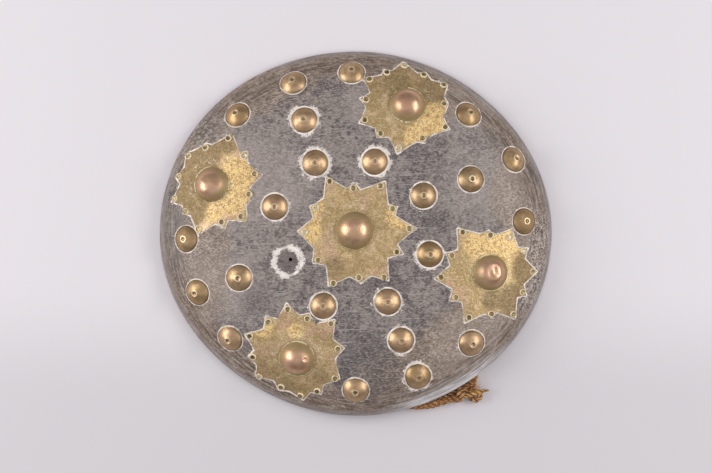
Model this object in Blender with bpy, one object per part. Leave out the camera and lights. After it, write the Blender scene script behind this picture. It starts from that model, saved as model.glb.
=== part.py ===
# A small round buckler of domed hide. Five brass star plates, each under a round boss and pinned
# at its twelve points, and twenty-three domed studs are fastened to the front. One more stud is
# lost and has left its hole. A fibre cord hangs in a loop behind, with its knot outside the rim.
# The shield lies on its rim, front up: +X to the right and +Y to the top, as seen from the front.
# Metres and degrees.

import math

import bmesh
import bpy
from mathutils import Vector
from mathutils.bvhtree import BVHTree

# Hide disc
HALF_WIDTH = 0.1722
HALF_HEIGHT = 0.1595
CORNER_SWELL = (-0.0018, 0.0009, -0.0024, -0.0012)  # past the oval at 45, 135, 225 and 315 degrees
HIDE_THICKNESS = 0.0055
DOME_RISE = 0.030
DOME_FULLNESS = 4.6  # a higher power keeps the middle flat further out
EDGE_WIDTH = 0.0055  # plan width of the steep flank round the rim
EDGE_DROP = 0.010
EDGE_ROUND = 0.0022
FOOT_INSET = 0.0012
FOOT_WIDTH = 0.0032
DOME_STATIONS = (0.0, 0.4, 0.58, 0.71, 0.82, 0.92, 1.0)
FLANK_STEPS = 3
DISC_SIDES = 60

# The warped stretch of rim that stands clear of the ground, where the cord passes under it
RIM_LIFT = 0.0088
LIFT_FROM = -84.0
LIFT_TO = -42.0
LIFT_FADE = 35.0
LIFT_STARTS = 0.60  # share of the way out from the middle
LIFT_FULL = 0.95

GAP = 0.0003  # between pieces that touch

# Domed studs: a sheet cap on a pin through the hide, clenched behind
STUD_RADIUS = 0.0115
STUD_HEIGHT = 0.0052
STUD_SHEET = 0.0009
PIN_RADIUS = 0.0013
PIN_PLAY = 0.0005
CLENCH_RADIUS = 0.0026
CLENCH_THICKNESS = 0.0009
STUD_SIDES = 10
PIN_HOLE_SIDES = 6
# Each place on the front is an angle and a share of the way from the middle to the rim there
INNER_STUDS = ((29, 0.397), (75, 0.397), (120, 0.426), (162, 0.426), (246, 0.427), (295, 0.404), (344, 0.387))
MIDDLE_STUDS = ((25, 0.649), (114.5, 0.661), (201, 0.635), (293, 0.623))
OUTER_STUDS = (
    (4, 0.851), (25, 0.899), (46.5, 0.871), (91.5, 0.876), (112.5, 0.876), (135, 0.874),
    (182, 0.855), (200.5, 0.866), (220, 0.867), (270, 0.852), (293.5, 0.840), (316.5, 0.838),
)
LOST_STUD_PIN = (202, 0.357)  # the hole that it left

# Star plates: thin sheet laid over the dome, six long and six short points
PLATE_THICKNESS = 0.0008
TACK_RADIUS = 0.0024
TACK_HEIGHT = 0.0011
TACK_BITE = 0.0004
TACK_SIDES = 6
STARS = {  # reach is the longest point's, as a share of the way to the rim; the rest are angles and shares of it
    "centre": {
        "place": (110, 0.015),
        "reach": 0.326,
        "long": ((2, 1.00), (58, 0.94), (118, 0.99), (181, 0.92), (245, 0.99), (304, 0.98)),
        "short": ((29, 0.79), (90, 0.77), (152, 0.82), (217, 0.86), (277, 0.86), (334, 0.87)),
        "valleys": (
            (20, 0.69), (37, 0.68), (82, 0.66), (101, 0.69), (134, 0.72), (163, 0.70),
            (204, 0.72), (231, 0.73), (264, 0.75), (290, 0.78), (320, 0.69), (342, 0.72),
        ),
        "tacks": (
            (2, 0.89), (30, 0.71), (60, 0.84), (92, 0.69), (117, 0.90), (149, 0.74),
            (182, 0.82), (219, 0.77), (248, 0.93), (275, 0.77), (302, 0.90), (333, 0.77),
        ),
    },
    "top": {
        "place": (68, 0.744),
        "reach": 0.275,
        "long": ((28, 0.91), (94, 0.88), (148, 1.00), (201, 1.00), (258, 0.97), (330, 0.95)),
        "short": ((2, 0.80), (61, 0.77), (123, 0.84), (172, 0.93), (227, 0.88), (294, 0.81)),
        "valleys": (
            (14, 0.74), (47, 0.70), (72, 0.68), (113, 0.75), (130, 0.78), (162, 0.76),
            (183, 0.80), (216, 0.77), (240, 0.72), (283, 0.74), (303, 0.73), (340, 0.74),
        ),
        "tacks": (
            (2, 0.71), (30, 0.82), (62, 0.69), (94, 0.80), (122, 0.76), (146, 0.90),
            (173, 0.82), (200, 0.89), (227, 0.78), (258, 0.87), (293, 0.72), (329, 0.85),
        ),
    },
    "left": {
        "place": (161.3, 0.767),
        "reach": 0.275,
        "long": ((10, 0.94), (69, 1.00), (131, 0.78), (202, 0.83), (255, 0.95), (314, 0.95)),
        "short": ((42, 0.89), (99, 0.77), (168, 0.72), (224, 0.76), (287, 0.83), (344, 0.81)),
        "valleys": (
            (31, 0.76), (50, 0.79), (90, 0.73), (118, 0.72), (148, 0.62), (178, 0.60),
            (215, 0.67), (235, 0.69), (275, 0.71), (295, 0.71), (329, 0.73), (355, 0.70),
        ),
        "tacks": (
            (13, 0.82), (41, 0.79), (70, 0.90), (100, 0.69), (130, 0.69), (166, 0.64),
            (200, 0.74), (226, 0.69), (254, 0.85), (286, 0.72), (313, 0.81), (345, 0.72),
        ),
    },
    "right": {
        "place": (-16.4, 0.708),
        "reach": 0.284,
        "long": ((1, 0.87), (63, 0.86), (127, 0.98), (186, 1.00), (243, 0.99), (299, 0.95)),
        "short": ((32, 0.81), (92, 0.75), (156, 0.86), (214, 0.87), (272, 0.80), (328, 0.79)),
        "valleys": (
            (21, 0.68), (42, 0.67), (82, 0.68), (105, 0.71), (145, 0.70), (170, 0.72),
            (203, 0.72), (225, 0.71), (263, 0.72), (280, 0.71), (318, 0.66), (341, 0.65),
        ),
        "tacks": (
            (1, 0.77), (33, 0.71), (61, 0.72), (91, 0.67), (125, 0.88), (156, 0.76),
            (185, 0.89), (215, 0.76), (244, 0.88), (271, 0.73), (299, 0.85), (329, 0.68),
        ),
    },
    "bottom": {
        "place": (-115.1, 0.747),
        "reach": 0.309,
        "long": ((46, 0.95), (100, 0.98), (155, 1.00), (204, 0.81), (278, 0.75), (335, 0.82)),
        "short": ((13, 0.84), (75, 0.82), (126, 0.91), (178, 0.85), (240, 0.66), (304, 0.75)),
        "valleys": (
            (1, 0.66), (29, 0.71), (62, 0.69), (87, 0.76), (116, 0.77), (138, 0.77),
            (169, 0.75), (190, 0.72), (224, 0.57), (256, 0.60), (291, 0.64), (315, 0.65),
        ),
        "tacks": (
            (14, 0.74), (46, 0.86), (75, 0.73), (100, 0.88), (127, 0.81), (154, 0.91),
            (178, 0.77), (206, 0.74), (241, 0.58), (275, 0.66), (302, 0.67), (333, 0.75),
        ),
    },
}

# Bosses: hollow caps, soldered over the middle of each plate
BOSS_RADIUS = 0.0151
CENTRE_BOSS_RADIUS = 0.0162
BOSS_HEIGHT = 0.0105
BOSS_SHEET = 0.0010
BOSS_SIDES = 14

# Cord: it comes through the hide behind the right and bottom bosses, and its two lengths meet in the knot
CORD_RADIUS = 0.0036
CORD_PLAY = 0.0005
CORD_HOLE_SIDES = 12
STRAND_STEPS = 2  # points to each stretch of the route
RIGHT_ROUTE = (
    (0.1159, -0.0342, 0.0372), (0.1159, -0.0342, 0.0260), (0.1156, -0.0356, 0.0168), (0.1140, -0.0402, 0.0101),
    (0.1115, -0.0482, 0.0055), (0.1096, -0.0580, 0.0040), (0.1087, -0.0720, 0.0038), (0.1092, -0.0870, 0.0038),
    (0.1085, -0.1020, 0.0038), (0.1062, -0.1150, 0.0038), (0.1036, -0.1265, 0.0040), (0.1021, -0.1338, 0.0048),
)
BOTTOM_ROUTE = (
    (-0.0508, -0.1083, 0.0358), (-0.0508, -0.1083, 0.0250), (-0.0502, -0.1088, 0.0168), (-0.0468, -0.1108, 0.0101),
    (-0.0398, -0.1142, 0.0055), (-0.0305, -0.1182, 0.0040), (-0.0160, -0.1243, 0.0038), (0.0010, -0.1315, 0.0038),
    (0.0170, -0.1395, 0.0038), (0.0330, -0.1470, 0.0038), (0.0490, -0.1512, 0.0038), (0.0640, -0.1508, 0.0038),
    (0.0780, -0.1470, 0.0042), (0.0905, -0.1437, 0.0050),
)
KNOT_MIDDLE = (0.1005, -0.1412, 0.0060)
KNOT_HALF_SIZES = (0.0092, 0.0068, 0.0056)
KNOT_TURN = 12.0
TAIL_LENGTH = 0.018  # from the middle of the knot to the frayed tip
TAIL_ROOT_RADIUS = 0.0036
TAIL_TIP_RADIUS = 0.0009


def toward(angle, distance):
    return distance * math.cos(math.radians(angle)), distance * math.sin(math.radians(angle))


def smooth(share):
    share = min(1.0, max(0.0, share))
    return share * share * (3 - 2 * share)


def rim_reach(angle):
    # From the middle to the rim: an oval with a little swell or hollow in each quarter
    turn = math.radians(angle)
    oval = 1 / math.hypot(math.cos(turn) / HALF_WIDTH, math.sin(turn) / HALF_HEIGHT)
    quarter = int((angle % 360) // 90)
    return oval + CORNER_SWELL[quarter] * math.sin(2 * turn) ** 2


def rim_lift(angle):
    angle = (angle + 180) % 360 - 180
    return RIM_LIFT * min(
        smooth(1 - (LIFT_FROM - angle) / LIFT_FADE),
        smooth(1 - (angle - LIFT_TO) / LIFT_FADE),
    )


def crown_height(radius):
    # Height of the front over the flank's top, on the round section that the disc is shaped from
    return EDGE_DROP + DOME_RISE * (1 - (radius / (HALF_WIDTH - EDGE_WIDTH)) ** DOME_FULLNESS)


def crown_slope(radius):
    crown_radius = HALF_WIDTH - EDGE_WIDTH
    return DOME_RISE * DOME_FULLNESS / crown_radius * (radius / crown_radius) ** (DOME_FULLNESS - 1)


def warped(point):
    # Takes a point of the round section out to the oval rim, and lifts it with the warp
    x, y, z = point
    angle = math.degrees(math.atan2(y, x))
    spread = rim_reach(angle) / HALF_WIDTH
    out = math.hypot(x, y) / HALF_WIDTH
    lift = rim_lift(angle) * smooth((out - LIFT_STARTS) / (LIFT_FULL - LIFT_STARTS))
    return Vector((x * spread, y * spread, z + lift))


def front_section():
    crown = [(share * (HALF_WIDTH - EDGE_WIDTH)) for share in DOME_STATIONS]
    section = [(radius, crown_height(radius)) for radius in crown]
    top = Vector((HALF_WIDTH - EDGE_WIDTH, EDGE_DROP))
    corner = Vector((HALF_WIDTH, EDGE_DROP - EDGE_WIDTH * crown_slope(top.x)))
    bottom = Vector((HALF_WIDTH, EDGE_ROUND))
    for step in range(1, FLANK_STEPS + 1):
        share = step / FLANK_STEPS
        section.append(tuple(top.lerp(corner, share).lerp(corner.lerp(bottom, share), share)))
    return section


def back_section():
    section = []
    for share in DOME_STATIONS:
        radius = share * (HALF_WIDTH - EDGE_WIDTH)
        lean = math.atan(crown_slope(radius))
        section.append((
            radius - HIDE_THICKNESS * math.sin(lean),
            crown_height(radius) - HIDE_THICKNESS * math.cos(lean),
        ))
    return section


def spun(section, sides):
    # Turns a section of (radius, height) points right round Z. One that ends on the axis closes there
    mesh = bmesh.new()
    points = [mesh.verts.new((radius, 0, height)) for radius, height in section]
    edges = [mesh.edges.new(pair) for pair in zip(points, points[1:])]
    bmesh.ops.spin(
        mesh, geom=points + edges, axis=(0, 0, 1), cent=(0, 0, 0), steps=sides, angle=2 * math.pi, use_merge=True
    )
    bmesh.ops.remove_doubles(mesh, verts=mesh.verts, dist=1e-6)
    bmesh.ops.recalc_face_normals(mesh, faces=mesh.faces)
    return mesh


def material(name, colour, roughness, metallic):
    made = bpy.data.materials.new(name)
    made.use_nodes = True
    shader = made.node_tree.nodes["Principled BSDF"]
    shader.inputs["Base Color"].default_value = (*colour, 1)
    shader.inputs["Roughness"].default_value = roughness
    shader.inputs["Metallic"].default_value = metallic
    return made


def piece(name, mesh, finish=None, smooth_under=None):
    data = bpy.data.meshes.new(name)
    mesh.to_mesh(data)
    mesh.free()
    if smooth_under is not None:
        data.shade_smooth()
        data.set_sharp_from_angle(angle=math.radians(smooth_under))
    if finish:
        data.materials.append(finish)
    made = bpy.data.objects.new(name, data)
    bpy.context.scene.collection.objects.link(made)
    return made


def cutter(name, mesh):
    made = piece(name, mesh)
    made.hide_render = True
    made.display_type = "WIRE"
    return made


def boolean(target, operation, other):
    change = target.modifiers.new(other.name, "BOOLEAN")
    change.operation = operation
    change.object = other


def stand_on(made, place, axis):
    made.location = place
    made.rotation_mode = "QUATERNION"
    made.rotation_quaternion = axis.to_track_quat("Z", "Y")


def disc_mesh():
    front = front_section()
    foot = [(HALF_WIDTH - FOOT_INSET, 0), (HALF_WIDTH - FOOT_INSET - FOOT_WIDTH, 0)]
    mesh = spun(front + foot + back_section()[::-1], DISC_SIDES)
    for vertex in mesh.verts:
        vertex.co = warped(vertex.co)
    return mesh


def plate_layer_mesh():
    # A sheet of plate thickness that covers the whole crown, cut from the same facets as the hide
    crown = front_section()[:len(DOME_STATIONS) + 1]
    under = [(radius, height + GAP / math.cos(math.atan(crown_slope(HALF_WIDTH - EDGE_WIDTH))))
             for radius, height in crown]
    over = [(radius, height + PLATE_THICKNESS) for radius, height in under]
    mesh = spun(over + under[::-1], DISC_SIDES)
    for vertex in mesh.verts:
        vertex.co = warped(vertex.co)
    return mesh


def front_point(x, y):
    # The point of the front over plan position x, y, and the way that the hide faces there
    def height(x, y):
        angle = math.degrees(math.atan2(y, x))
        spread = rim_reach(angle) / HALF_WIDTH
        radius = math.hypot(x, y) / spread
        flat = (radius * math.cos(math.radians(angle)), radius * math.sin(math.radians(angle)), crown_height(radius))
        return warped(flat).z

    step = 0.0005
    across = (height(x + step, y) - height(x - step, y)) / (2 * step)
    up = (height(x, y + step) - height(x, y - step)) / (2 * step)
    return Vector((x, y, height(x, y))), Vector((-across, -up, 1)).normalized()


def ring_round(axis, radius, count):
    side = axis.orthogonal().normalized()
    other = axis.cross(side)
    for index in range(count):
        turn = 2 * math.pi * index / count
        yield radius * (math.cos(turn) * side + math.sin(turn) * other)


def seat_height(tree, place, axis, radius, count, from_below=False):
    # How far along the axis from place a flat ring of this radius comes to rest on the faces of a tree
    start = -3 * HIDE_THICKNESS if from_below else 3 * HIDE_THICKNESS
    way = axis if from_below else -axis
    heights = []
    for offset in ring_round(axis, radius, count):
        hit = tree.ray_cast(place + offset + axis * start, way)[0]
        if hit is not None:
            heights.append((hit - place).dot(axis))
    return min(heights) - GAP if from_below else max(heights) + GAP


def cap_section(radius, height, sheet, steps):
    # Down the outside of a round cap from its top, then up the inside, as far as the axis
    ball = (radius ** 2 + height ** 2) / (2 * height)
    full = math.asin(radius / ball) if height < radius else math.pi - math.asin(radius / ball)
    outside = [
        (ball * math.sin(full * step / steps), height - ball * (1 - math.cos(full * step / steps)))
        for step in range(steps + 1)
    ]
    inner = radius - sheet
    return outside + [(inner * share, (height - sheet) * (1 - share ** 2)) for share in (1.0, 0.7, 0.0)]


def stud_mesh(pin_end):
    # pin_end is how far below the seat the clench starts
    *outside, ring, _, inside_top = cap_section(STUD_RADIUS, STUD_HEIGHT, STUD_SHEET, 2)
    shank = [
        (PIN_RADIUS, inside_top[1]),
        (PIN_RADIUS, -pin_end),
        (CLENCH_RADIUS, -pin_end),
        (CLENCH_RADIUS * 0.8, -pin_end - CLENCH_THICKNESS),
        (0, -pin_end - CLENCH_THICKNESS),
    ]
    return spun(outside + [ring] + shank, STUD_SIDES)


def hole_mesh(mesh, place, axis, radius, sides):
    # Adds a cylinder through the hide to a mesh of cutters
    reach = 3 * HIDE_THICKNESS
    bottom = [mesh.verts.new(place + offset - axis * reach) for offset in ring_round(axis, radius, sides)]
    end = mesh.faces.new(bottom)
    moved = bmesh.ops.extrude_face_region(mesh, geom=[end])["geom"]
    tops = [item for item in moved if isinstance(item, bmesh.types.BMVert)]
    bmesh.ops.translate(mesh, verts=tops, vec=axis * (2 * reach))


def on_disc(angle, share):
    return toward(angle, share * rim_reach(angle))


def from_middle(star, places):
    # Angles round the star's middle, and real distances from it
    longest = star["reach"] * rim_reach(star["place"][0])
    return [(angle, share * longest) for angle, share in sorted(places)]


def star_outline(star):
    return from_middle(star, star["long"] + star["short"] + star["valleys"])


def star_cutter(name, star):
    x, y = on_disc(*star["place"])
    mesh = bmesh.new()
    corners = []
    for angle, reach in star_outline(star):
        across, up = toward(angle, reach)
        corners.append(mesh.verts.new((x + across, y + up, -EDGE_DROP)))
    end = mesh.faces.new(corners)
    moved = bmesh.ops.extrude_face_region(mesh, geom=[end])["geom"]
    tops = [item for item in moved if isinstance(item, bmesh.types.BMVert)]
    bmesh.ops.translate(mesh, verts=tops, vec=(0, 0, 3 * (EDGE_DROP + DOME_RISE)))
    bmesh.ops.recalc_face_normals(mesh, faces=mesh.faces)
    return cutter(f"star_{name}_outline", mesh)


def tack_heads(name, star, plate_tree):
    # The twelve pin heads of one plate, sunk a little into it
    x, y = on_disc(*star["place"])
    heads = bmesh.new()
    for angle, reach in from_middle(star, star["tacks"]):
        across, up = toward(angle, reach)
        middle, axis = front_point(x + across, y + up)
        top = plate_tree.ray_cast(middle + axis * HIDE_THICKNESS * 2, -axis)[0]
        section = [
            (0, TACK_HEIGHT), (TACK_RADIUS * 0.7, TACK_HEIGHT * 0.65), (TACK_RADIUS, -TACK_BITE), (0, -TACK_BITE),
        ]
        head = spun(section, TACK_SIDES)
        turn = axis.to_track_quat("Z", "Y").to_matrix().to_4x4()
        bmesh.ops.transform(head, matrix=turn, verts=head.verts)
        bmesh.ops.translate(head, vec=top, verts=head.verts)
        data = bpy.data.meshes.new("tack_head")
        head.to_mesh(data)
        head.free()
        heads.from_mesh(data)
        bpy.data.meshes.remove(data)
    return cutter(f"star_{name}_tacks", heads)


def tree_of(mesh):
    return BVHTree.FromBMesh(mesh)


def curve_through(route, steps):
    # Points along a smooth curve that passes through each point of a route
    points = [Vector(point) for point in route]
    ends = [points[0] * 2 - points[1]] + points + [points[-1] * 2 - points[-2]]
    line = []
    for before, start, end, after in zip(ends, ends[1:], ends[2:], ends[3:]):
        for step in range(steps):
            share = step / steps
            line.append(0.5 * (
                2 * start
                + (end - before) * share
                + (2 * before - 5 * start + 4 * end - after) * share ** 2
                + (3 * start - before - 3 * end + after) * share ** 3
            ))
    return line + [points[-1]]


def cord_strand(name, route, finish):
    curve = bpy.data.curves.new(name, "CURVE")
    curve.dimensions = "3D"
    curve.bevel_depth = CORD_RADIUS
    curve.bevel_resolution = 2
    curve.use_fill_caps = True
    line = curve_through(route, STRAND_STEPS)
    spline = curve.splines.new("POLY")
    spline.points.add(len(line) - 1)
    for point, place in zip(spline.points, line):
        point.co = (*place, 1)
    curve.materials.append(finish)
    made = bpy.data.objects.new(name, curve)
    bpy.context.scene.collection.objects.link(made)


def cord_knot(finish):
    knot = bmesh.new()
    bmesh.ops.create_uvsphere(knot, u_segments=12, v_segments=8, radius=1)
    bmesh.ops.scale(knot, vec=KNOT_HALF_SIZES, verts=knot.verts)
    tail = bmesh.new()
    bmesh.ops.create_cone(
        tail, cap_ends=True, segments=8, radius1=TAIL_ROOT_RADIUS, radius2=TAIL_TIP_RADIUS, depth=TAIL_LENGTH
    )
    turn = Vector((1, 0, 0)).to_track_quat("Z", "Y").to_matrix().to_4x4()
    bmesh.ops.transform(tail, matrix=turn, verts=tail.verts)
    bmesh.ops.translate(tail, vec=(TAIL_LENGTH / 2, 0, -KNOT_HALF_SIZES[2] * 0.2), verts=tail.verts)
    made = piece("cord_knot", knot, finish, smooth_under=50)
    frayed = cutter("cord_tail", tail)
    for each in (made, frayed):
        each.location = KNOT_MIDDLE
        each.rotation_euler.z = math.radians(KNOT_TURN)
    boolean(made, "UNION", frayed)


def main():
    for old in list(bpy.data.objects):
        bpy.data.objects.remove(old)

    hide = material("Hide", (0.115, 0.100, 0.100), 0.55, 0.0)
    plate_brass = material("PlateBrass", (0.42, 0.31, 0.13), 0.40, 1.0)
    stud_brass = material("StudBrass", (0.36, 0.25, 0.11), 0.35, 1.0)
    boss_bronze = material("BossBronze", (0.30, 0.17, 0.10), 0.32, 1.0)
    fibre = material("Fibre", (0.30, 0.15, 0.05), 0.9, 0.0)

    disc = disc_mesh()
    disc_tree = tree_of(disc)
    body = piece("hide_disc", disc, hide, smooth_under=35)
    holes = bmesh.new()
    for x, y, z in (RIGHT_ROUTE[0], BOTTOM_ROUTE[0]):
        hole_mesh(holes, Vector((x, y, z)), Vector((0, 0, 1)), CORD_RADIUS + CORD_PLAY, CORD_HOLE_SIDES)
    for number, place in enumerate(INNER_STUDS + MIDDLE_STUDS + OUTER_STUDS, 1):
        middle, axis = front_point(*on_disc(*place))
        seat = seat_height(disc_tree, middle, axis, STUD_RADIUS, STUD_SIDES)
        back = seat_height(disc_tree, middle, axis, CLENCH_RADIUS, PIN_HOLE_SIDES, from_below=True)
        stud = piece(f"stud_{number:02d}", stud_mesh(seat - back), stud_brass, smooth_under=40)
        stand_on(stud, middle + axis * seat, axis)
        hole_mesh(holes, middle, axis, PIN_RADIUS + PIN_PLAY, PIN_HOLE_SIDES)
    middle, axis = front_point(*on_disc(*LOST_STUD_PIN))
    hole_mesh(holes, middle, axis, PIN_RADIUS + PIN_PLAY, PIN_HOLE_SIDES)
    bmesh.ops.recalc_face_normals(holes, faces=holes.faces)
    drill = cutter("holes_through_hide", holes)
    boolean(body, "DIFFERENCE", drill)

    layer = plate_layer_mesh()
    layer_tree = tree_of(layer)
    layer_data = bpy.data.meshes.new("plate_layer")
    layer.to_mesh(layer_data)
    layer.free()
    for name, star in STARS.items():
        mesh = bmesh.new()
        mesh.from_mesh(layer_data)
        plate = piece(f"star_plate_{name}", mesh, plate_brass)
        boolean(plate, "INTERSECT", star_cutter(name, star))
        boolean(plate, "UNION", tack_heads(name, star, layer_tree))
        if name in ("right", "bottom"):
            boolean(plate, "DIFFERENCE", drill)
        radius = CENTRE_BOSS_RADIUS if name == "centre" else BOSS_RADIUS
        middle, axis = front_point(*on_disc(*star["place"]))
        seat = seat_height(layer_tree, middle, axis, radius, BOSS_SIDES)
        boss = spun(cap_section(radius, BOSS_HEIGHT, BOSS_SHEET, 3), BOSS_SIDES)
        stand_on(piece(f"boss_{name}", boss, boss_bronze, smooth_under=50), middle + axis * seat, axis)

    cord_strand("cord_right", RIGHT_ROUTE, fibre)
    cord_strand("cord_bottom", BOTTOM_ROUTE, fibre)
    cord_knot(fibre)


main()
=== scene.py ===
# A small round buckler of dark hide with brass stars, bosses and studs, lying front up on a pale floor.
# Metres throughout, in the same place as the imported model: +X right, +Y up the picture, +Z to the camera.

import math
import random

import bmesh
import bpy
import numpy as np
from mathutils import Matrix, Vector, noise


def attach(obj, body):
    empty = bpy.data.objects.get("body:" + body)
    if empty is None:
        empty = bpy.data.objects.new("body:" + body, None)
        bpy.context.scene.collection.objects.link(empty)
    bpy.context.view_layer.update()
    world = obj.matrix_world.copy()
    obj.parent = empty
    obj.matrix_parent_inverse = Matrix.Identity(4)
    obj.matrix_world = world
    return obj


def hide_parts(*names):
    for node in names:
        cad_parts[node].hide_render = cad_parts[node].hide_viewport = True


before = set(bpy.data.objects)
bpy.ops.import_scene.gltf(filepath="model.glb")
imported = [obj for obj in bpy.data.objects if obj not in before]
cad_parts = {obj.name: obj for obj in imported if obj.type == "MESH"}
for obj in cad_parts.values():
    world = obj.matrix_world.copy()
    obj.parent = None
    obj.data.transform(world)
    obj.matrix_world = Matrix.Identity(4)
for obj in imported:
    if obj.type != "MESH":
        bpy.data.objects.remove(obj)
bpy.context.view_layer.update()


# Shared helpers

def toward(angle, distance):
    return distance * math.cos(math.radians(angle)), distance * math.sin(math.radians(angle))


def smoothStep(share):
    share = min(1.0, max(0.0, share))
    return share * share * (3 - 2 * share)


def ripple(point, size, seed=0.0):
    # Smooth noise from -1 to 1 with bumps of about this size
    return noise.noise(Vector(point) / size + Vector((seed, seed * 1.7, seed * 0.6)))


def meshData(name, mesh):
    data = bpy.data.meshes.new(name)
    mesh.to_mesh(data)
    mesh.free()
    return data


def inScene(name, data):
    made = bpy.data.objects.new(name, data)
    bpy.context.scene.collection.objects.link(made)
    return made


def newPiece(name, mesh, finish, nodes, smoothUnder=40):
    data = meshData(name, mesh)
    data.shade_smooth()
    data.set_sharp_from_angle(angle=math.radians(smoothUnder))
    data.materials.append(finish)
    piece = inScene(name, data)
    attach(piece, "root")
    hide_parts(*nodes)
    return piece


def storeValues(piece, name, values):
    # One number for each point of a piece, which its material reads by name
    layer = piece.data.attributes.new(name, "FLOAT", "POINT")
    layer.data.foreach_set("value", np.asarray(values, dtype=np.float32))


def pointsOf(piece):
    places = np.empty(len(piece.data.vertices) * 3, dtype=np.float32)
    piece.data.vertices.foreach_get("co", places)
    return places.reshape(-1, 3)


def awayFromAxis(points, middle, axis):
    offset = points - np.array(middle)
    along = offset @ np.array(axis)
    return np.linalg.norm(offset - along[:, None] * np.array(axis), axis=1)


def only(kind, parts):
    return [part for part in parts if isinstance(part, kind)]


def spunMesh(section, sides):
    # Turns a section of (radius, height) points right round Z
    mesh = bmesh.new()
    points = [mesh.verts.new((radius, 0, height)) for radius, height in section]
    edges = [mesh.edges.new(pair) for pair in zip(points, points[1:])]
    bmesh.ops.spin(mesh, geom=points + edges, axis=(0, 0, 1), cent=(0, 0, 0), steps=sides,
                   angle=2 * math.pi, use_merge=True)
    bmesh.ops.remove_doubles(mesh, verts=mesh.verts, dist=1e-6)
    bmesh.ops.recalc_face_normals(mesh, faces=mesh.faces)
    return mesh


def standOn(mesh, place, axis, turn=0.0):
    spinTurn = Matrix.Rotation(math.radians(turn), 4, "Z")
    lean = axis.to_track_quat("Z", "Y").to_matrix().to_4x4()
    bmesh.ops.transform(mesh, matrix=Matrix.Translation(place) @ lean @ spinTurn, verts=mesh.verts)


def addMesh(target, source):
    data = meshData("added", source)
    target.from_mesh(data)
    bpy.data.meshes.remove(data)


# Camera, straight above, set by the floor scale in the picture

camera = {
    "distance": 1.6,
    "across": 0.00026,
    "up": -0.0029,
    "metresPerPixel": 0.00088,  # on the floor
    "pictureWidth": 712,
    "sensorWidth": 36.0,
}


def makeCamera():
    data = bpy.data.cameras.new("pictureCamera")
    data.sensor_width = camera["sensorWidth"]
    widthSeen = camera["pictureWidth"] * camera["metresPerPixel"]
    data.lens = camera["sensorWidth"] * camera["distance"] / widthSeen
    data.clip_end = 20
    made = inScene("pictureCamera", data)
    made.location = (camera["across"], camera["up"], camera["distance"])
    bpy.context.scene.camera = made


# Materials: Wire does the shader maths, NodeMaker makes the other nodes, Finish is one material

class Wire:
    def __init__(self, maker, socket):
        self.maker = maker
        self.socket = socket

    def maths(self, operation, first, second):
        return self.maker.node("Math", {"operation": operation}, {0: first, 1: second})

    def __add__(self, other):
        return self.maths("ADD", self, other)

    def __radd__(self, other):
        return self.maths("ADD", other, self)

    def __sub__(self, other):
        return self.maths("SUBTRACT", self, other)

    def __rsub__(self, other):
        return self.maths("SUBTRACT", other, self)

    def __mul__(self, other):
        return self.maths("MULTIPLY", self, other)

    def __rmul__(self, other):
        return self.maths("MULTIPLY", other, self)


class NodeMaker:
    def __init__(self, tree):
        self.tree = tree

    def feed(self, socket, value):
        if isinstance(value, Wire):
            self.tree.links.new(value.socket, socket)
        elif socket.type == "RGBA":
            socket.default_value = (*value, 1)
        else:
            socket.default_value = value

    def node(self, kind, settings=None, inputs=None, output=0):
        made = self.tree.nodes.new("ShaderNode" + kind)
        for name, value in (settings or {}).items():
            setattr(made, name, value)
        for name, value in (inputs or {}).items():
            self.feed(made.inputs[name], value)
        return Wire(self, made.outputs[output])


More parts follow.
